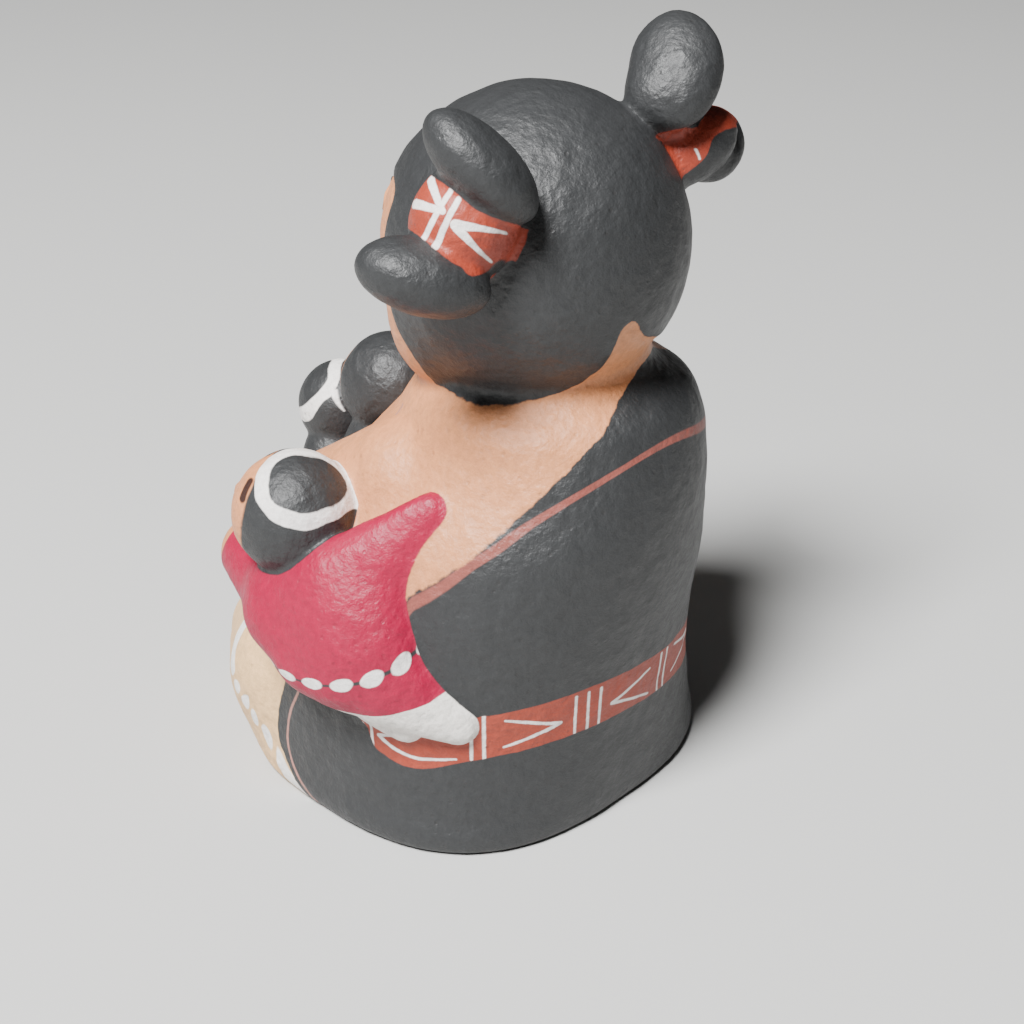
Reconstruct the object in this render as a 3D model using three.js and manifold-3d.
// Pueblo storyteller figure: a seated woman of painted, fired clay with three children on her arms
// and lap, all modelled as one piece. Millimetres, +Z up. She faces -Y, and her left side is +X.
import * as THREE from 'three';
import { mergeVertices } from 'three/addons/utils/BufferGeometryUtils.js';
import Module from 'manifold-3d';

const wasm = await Module();
wasm.setup();

// Driving size. The underside lies on z = 0, and the top of her right hair whorl is the highest point.
const figureHeight = 88.9;

// The pose and proportions are shares of the height, written in hundredths of it.
const share = figureHeight / 100;

// How many sides the round forms have
const bodySides = 40;
const bodyRings = 19;
const headSides = 28;
const petalSides = 16;
const ringsPerSide = 0.62;
const childHeadSides = 14;
const garmentSides = 14;
const limbSides = 14;
const smallLimbSides = 10;

// The body as a stack of ovals: height, middle (x, y), half width, half depth, and how square each
// oval is (1 is a true oval). The lowest one is below the cut of the flat underside.
const bodyLevels = [
  { height: -1.5, middle: [0.6, -1.8], halfWidth: 28.1, halfDepth: 27.2, square: 1.36 },
  { height: 2, middle: [0.4, -2.2], halfWidth: 29.4, halfDepth: 28.1, square: 1.3 },
  { height: 5.9, middle: [0.2, -2.9], halfWidth: 29.3, halfDepth: 28.9, square: 1.2 },
  { height: 13.8, middle: [0, -2.4], halfWidth: 28.9, halfDepth: 28.5, square: 1.1 },
  { height: 22.6, middle: [0, -0.5], halfWidth: 28.1, halfDepth: 27.4, square: 1.06 },
  { height: 31.5, middle: [-0.6, 2.1], halfWidth: 27, halfDepth: 26, square: 1.05 },
  { height: 40.4, middle: [-1.4, 4.5], halfWidth: 24.5, halfDepth: 24.2, square: 1.05 },
  { height: 46.3, middle: [-3, 6.5], halfWidth: 21.5, halfDepth: 21.9, square: 1.05 },
  { height: 50.7, middle: [-4, 7.7], halfWidth: 19.9, halfDepth: 19.6, square: 1.05 },
  { height: 55.1, middle: [-4.1, 8.2], halfWidth: 18.2, halfDepth: 17.5, square: 1 },
  { height: 59.1, middle: [-3.5, 7.9], halfWidth: 13.7, halfDepth: 13.5, square: 1 },
  { height: 65, middle: [-3.1, 7.5], halfWidth: 11.8, halfDepth: 11.8, square: 1 },
];

// Her head, tipped a little to her left
const headMiddle = [-2.5, 6.4, 73.9];
const headRadii = [19.3, 18.9, 19.5];
const headRoll = 5;

// What sits on the head. Each middle is a place from the middle of the head, in head radii.
const nose = { middle: [0, -0.984, 0.01], radii: [2.3, 2.7, 3.6] };
const mouth = { middle: [0, -0.91, -0.39], radii: [2.6, 3.1, 3] };
const chin = { middle: [0, -0.614, -0.544], radii: [6.6, 5, 4.6] };
const jaw = { middle: [0, -0.334, -0.423], radii: [17.2, 10, 12.7] };

// The hair whorls, each two flattened petals that open from a bound waist. The places and directions
// of both are written for her left side, and those of the right one are mirrored.
const whorls = [
  {
    side: 1,
    upper: {
      middle: [0.872, 0.461, 0.897],
      radii: [8.2, 5.9, 4],
      long: [0.386, -0.539, 0.749],
      broad: [0.657, 0.73, 0.187],
    },
    lower: {
      middle: [1.305, 0.36, 0.342],
      radii: [8, 5.6, 4.3],
      long: [0.76, -0.501, 0.413],
      broad: [0.475, 0.863, 0.173],
    },
  },
  {
    side: -1,
    upper: {
      middle: [0.896, 0.451, 0.941],
      radii: [7.7, 5.8, 4.1],
      long: [0.587, -0.442, 0.678],
      broad: [0.506, 0.855, 0.119],
    },
    lower: {
      middle: [1.3, 0.352, 0.31],
      radii: [7.8, 5.1, 3.5],
      long: [0.728, -0.671, 0.139],
      broad: [0.666, 0.741, 0.088],
    },
  },
];
const whorlWaist = {
  middle: [0.916, 0.351, 0.537],
  radii: [6.4, 6.9, 5.6],
  long: [0.35, -0.9, 0.35],
  broad: [0.85, 0.25, 0.45],
};

// Her legs and arms are tapered limbs with round ends: each joint has a place and a radius.
// Places are for her left side.
const knee = { at: [16.5, -16.9, 10.4], radius: 12.2 };
const foot = { at: [10, -31.1, 7.1], radius: 8.3 };
const shoulder = { at: [12.4, -1.7, 43.8], radius: 7.9 };
const elbow = { at: [14.8, -18, 34.4], radius: 6.7 };
const hand = { at: [4.4, -27.6, 26.6], radius: 4.9 };

// The children. Each has a head, a garment, arms and legs. The garment and the limbs are tapered
// limbs too, flattened towards the side that `faces` names.
const children = [
  {
    head: { at: [25.3, -9.2, 41.1], radius: 7.9 },
    faces: [0.75, 0.6, 0.25],
    garmentFlatness: 0.6,
    garment: [
      [[25.4, -2, 30.4], [27, -0.2, 28.2], 10.7, 9.2],
      [[28, 5.6, 27.5], [25.1, 11.4, 24.2], 7.9, 3.6],
    ],
    limbFlatness: 0.6,
    arms: [
      [[29.2, -9.4, 30], [24.9, -20.7, 31.2], 4.5, 4],
      [[26.4, 2.5, 34], [19.1, 9, 44.6], 7.7, 3],
    ],
    legs: [
      [[27.2, 9.6, 24.2], [22.5, 16.6, 19.3], 5.4, 2.7],
      [[27.8, 4.2, 19.8], [25.9, 10.6, 18.7], 1.7, 2.7],
    ],
  },
  {
    head: { at: [-5.7, -23.4, 44.1], radius: 7.5 },
    faces: [0, 1, 0],
    garmentFlatness: 0.85,
    garment: [[[-5.8, -22.6, 37.9], [-6.4, -22.6, 20.7], 6.2, 8.2]],
    limbFlatness: 1,
    arms: [
      [[-0.5, -23.6, 34.4], [4.4, -27.6, 30.5], 2.9, 2.2],
      [[-10.3, -23.6, 34.4], [-14.8, -26.1, 31.5], 2.9, 2.2],
    ],
    legs: [],
  },
  {
    head: { at: [-6.7, -35.8, 36.7], radius: 6.5 },
    faces: [0, 1, 0],
    garmentFlatness: 0.85,
    garment: [[[-6.3, -34.4, 31], [-5.9, -32, 17.2], 5.4, 7.4]],
    limbFlatness: 1,
    arms: [
      [[-1.8, -34.4, 28.1], [1.5, -36.9, 23.1], 2.7, 2.1],
      [[-10.6, -34.4, 28.1], [-13.8, -36.4, 23.1], 2.7, 2.1],
    ],
    legs: [
      [[-2.8, -34, 15.5], [-1.9, -39.6, 9.6], 3.5, 2.9],
      [[-9.2, -34, 15.5], [-10.4, -39.6, 9.6], 3.5, 2.9],
    ],
  },
];

const clayColour = 0x3d3f43;
const seamGap = 1e-4;

function place(shares) {
  return new THREE.Vector3(...shares).multiplyScalar(share);
}

function mirrored([x, y, z]) {
  return [-x, y, z];
}

function solid(geometry) {
  geometry.deleteAttribute('normal');
  geometry.deleteAttribute('uv');
  const merged = mergeVertices(geometry, seamGap);
  const vertProperties = new Float32Array(merged.attributes.position.array);
  const triVerts = new Uint32Array(merged.index.array);
  const mesh = new wasm.Mesh({ numProp: 3, vertProperties, triVerts });
  mesh.merge();
  return new wasm.Manifold(mesh);
}

// A frame whose X axis is `long` and whose Y axis is `broad`, squared up
function frame(long, broad) {
  const xAxis = new THREE.Vector3(...long).normalize();
  const zAxis = new THREE.Vector3().crossVectors(xAxis, new THREE.Vector3(...broad)).normalize();
  const yAxis = new THREE.Vector3().crossVectors(zAxis, xAxis);
  return new THREE.Matrix4().makeBasis(xAxis, yAxis, zAxis);
}

function ellipsoid(radii, sides) {
  const geometry = new THREE.SphereGeometry(1, sides, Math.round(sides * ringsPerSide));
  geometry.rotateX(Math.PI / 2);
  geometry.scale(...place(radii).toArray());
  return geometry;
}

function ball(middle, radii, sides) {
  const geometry = ellipsoid(radii, sides);
  geometry.translate(...place(middle).toArray());
  return solid(geometry);
}

// A tapered limb with round ends, turned about its own axis
function limb([from, to, startRadius, endRadius], flatness = 1, facing = [0, 0, 1], sides = limbSides) {
  const start = place(from);
  const axis = place(to).sub(start);
  const length = axis.length();
  const startRound = startRadius * share;
  const endRound = endRadius * share;
  const lean = Math.asin((startRound - endRound) / length);
  const capSteps = Math.round(sides / 4) + 1;
  const profile = [];
  for (let i = 0; i <= capSteps; i++) {
    const angle = -Math.PI / 2 + (Math.PI / 2 + lean) * (i / capSteps);
    profile.push(new THREE.Vector2(startRound * Math.cos(angle), startRound * Math.sin(angle)));
  }
  for (let i = 0; i <= capSteps; i++) {
    const angle = lean + (Math.PI / 2 - lean) * (i / capSteps);
    profile.push(new THREE.Vector2(endRound * Math.cos(angle), length + endRound * Math.sin(angle)));
  }
  profile[0].x = 0;
  profile[profile.length - 1].x = 0;
  const geometry = new THREE.LatheGeometry(profile, sides);
  geometry.scale(1, 1, flatness);
  const up = axis.clone().normalize();
  const across = new THREE.Vector3().crossVectors(up, new THREE.Vector3(...facing)).normalize();
  const outward = new THREE.Vector3().crossVectors(across, up);
  geometry.applyMatrix4(new THREE.Matrix4().makeBasis(across, up, outward));
  geometry.translate(...start.toArray());
  return solid(geometry);
}

// A smooth value through the same field of all body levels, at a share t of the way up
function levelCurve(read) {
  const points = bodyLevels.map((level) => new THREE.Vector2(level.height, read(level)));
  return new THREE.SplineCurve(points);
}

// The body: a turned form whose rings are pushed out to the ovals of the levels
function body() {
  const curves = {
    halfWidth: levelCurve((level) => level.halfWidth),
    halfDepth: levelCurve((level) => level.halfDepth),
    middleX: levelCurve((level) => level.middle[0]),
    middleY: levelCurve((level) => level.middle[1]),
    square: levelCurve((level) => level.square),
  };
  const rings = Array.from({ length: bodyRings + 1 }, (_, i) => i / bodyRings);
  const profile = [new THREE.Vector2(0, 0)];
  for (const t of rings) {
    profile.push(new THREE.Vector2(1, t));
  }
  profile.push(new THREE.Vector2(0, 1));
  const geometry = new THREE.LatheGeometry(profile, bodySides);
  const position = geometry.attributes.position;
  for (let i = 0; i < position.count; i++) {
    const t = position.getY(i);
    const power = 1 / curves.square.getPoint(t).y;
    const side = Math.sign(position.getX(i)) * Math.abs(position.getX(i)) ** power;
    const back = Math.sign(position.getZ(i)) * Math.abs(position.getZ(i)) ** power;
    const x = curves.middleX.getPoint(t).y + side * curves.halfWidth.getPoint(t).y;
    const y = curves.middleY.getPoint(t).y - back * curves.halfDepth.getPoint(t).y;
    position.setXYZ(i, x * share, y * share, curves.square.getPoint(t).x * share);
  }
  return solid(geometry);
}

// The block that is cut away below the flat underside
function ground() {
  const reach = figureHeight * 2;
  const geometry = new THREE.BoxGeometry(reach, reach, figureHeight);
  geometry.translate(0, 0, -figureHeight / 2);
  return solid(geometry);
}

// A form of the head, at its place in head radii and with the head's tilt
function onHead(geometry, middle) {
  const offset = place(headRadii).multiply(new THREE.Vector3(...middle));
  geometry.translate(...offset.toArray());
  geometry.rotateY(THREE.MathUtils.degToRad(headRoll));
  geometry.translate(...place(headMiddle).toArray());
  return solid(geometry);
}

function petal({ middle, radii, long, broad }, side) {
  const turned = side > 0 ? [long, broad] : [mirrored(long), mirrored(broad)];
  const geometry = ellipsoid(radii, petalSides);
  geometry.applyMatrix4(frame(...turned));
  return onHead(geometry, side > 0 ? middle : mirrored(middle));
}

function head() {
  let form = onHead(ellipsoid(headRadii, headSides), [0, 0, 0]);
  for (const { side, upper, lower } of whorls) {
    for (const piece of [upper, lower, whorlWaist]) {
      form = form.add(petal(piece, side));
    }
  }
  form = form.add(onHead(ellipsoid(jaw.radii, childHeadSides), jaw.middle));
  form = form.add(onHead(ellipsoid(chin.radii, limbSides), chin.middle));
  form = form.add(onHead(ellipsoid(nose.radii, limbSides), nose.middle));
  return form.subtract(onHead(ellipsoid(mouth.radii, limbSides), mouth.middle));
}

function limbsOfSide(side) {
  const at = (point) => (side > 0 ? point : mirrored(point));
  const joined = (start, end) => limb([at(start.at), at(end.at), start.radius, end.radius]);
  return [joined(knee, foot), joined(shoulder, elbow), joined(elbow, hand)];
}

function child({ head: skull, faces, garmentFlatness, garment, limbFlatness, arms, legs }) {
  const radii = [skull.radius, skull.radius, skull.radius];
  let form = ball(skull.at, radii, childHeadSides);
  for (const part of garment) {
    form = form.add(limb(part, garmentFlatness, faces, garmentSides));
  }
  for (const part of [...arms, ...legs]) {
    form = form.add(limb(part, limbFlatness, faces, smallLimbSides));
  }
  return form;
}

function figure() {
  let form = body().add(head());
  for (const side of [1, -1]) {
    for (const part of limbsOfSide(side)) {
      form = form.add(part);
    }
  }
  for (const one of children) {
    form = form.add(child(one));
  }
  return form.subtract(ground());
}

function meshOf(name, form, colour) {
  const { vertProperties, triVerts } = form.getMesh();
  const geometry = new THREE.BufferGeometry();
  geometry.setAttribute('position', new THREE.BufferAttribute(new Float32Array(vertProperties), 3));
  geometry.setIndex(new THREE.BufferAttribute(new Uint32Array(triVerts), 1));
  const material = new THREE.MeshStandardMaterial({ color: colour, roughness: 0.75, metalness: 0 });
  const mesh = new THREE.Mesh(geometry, material);
  mesh.name = name;
  return mesh;
}

const group = new THREE.Group();
group.add(meshOf('storyteller_figure', figure(), clayColour));

export default group;
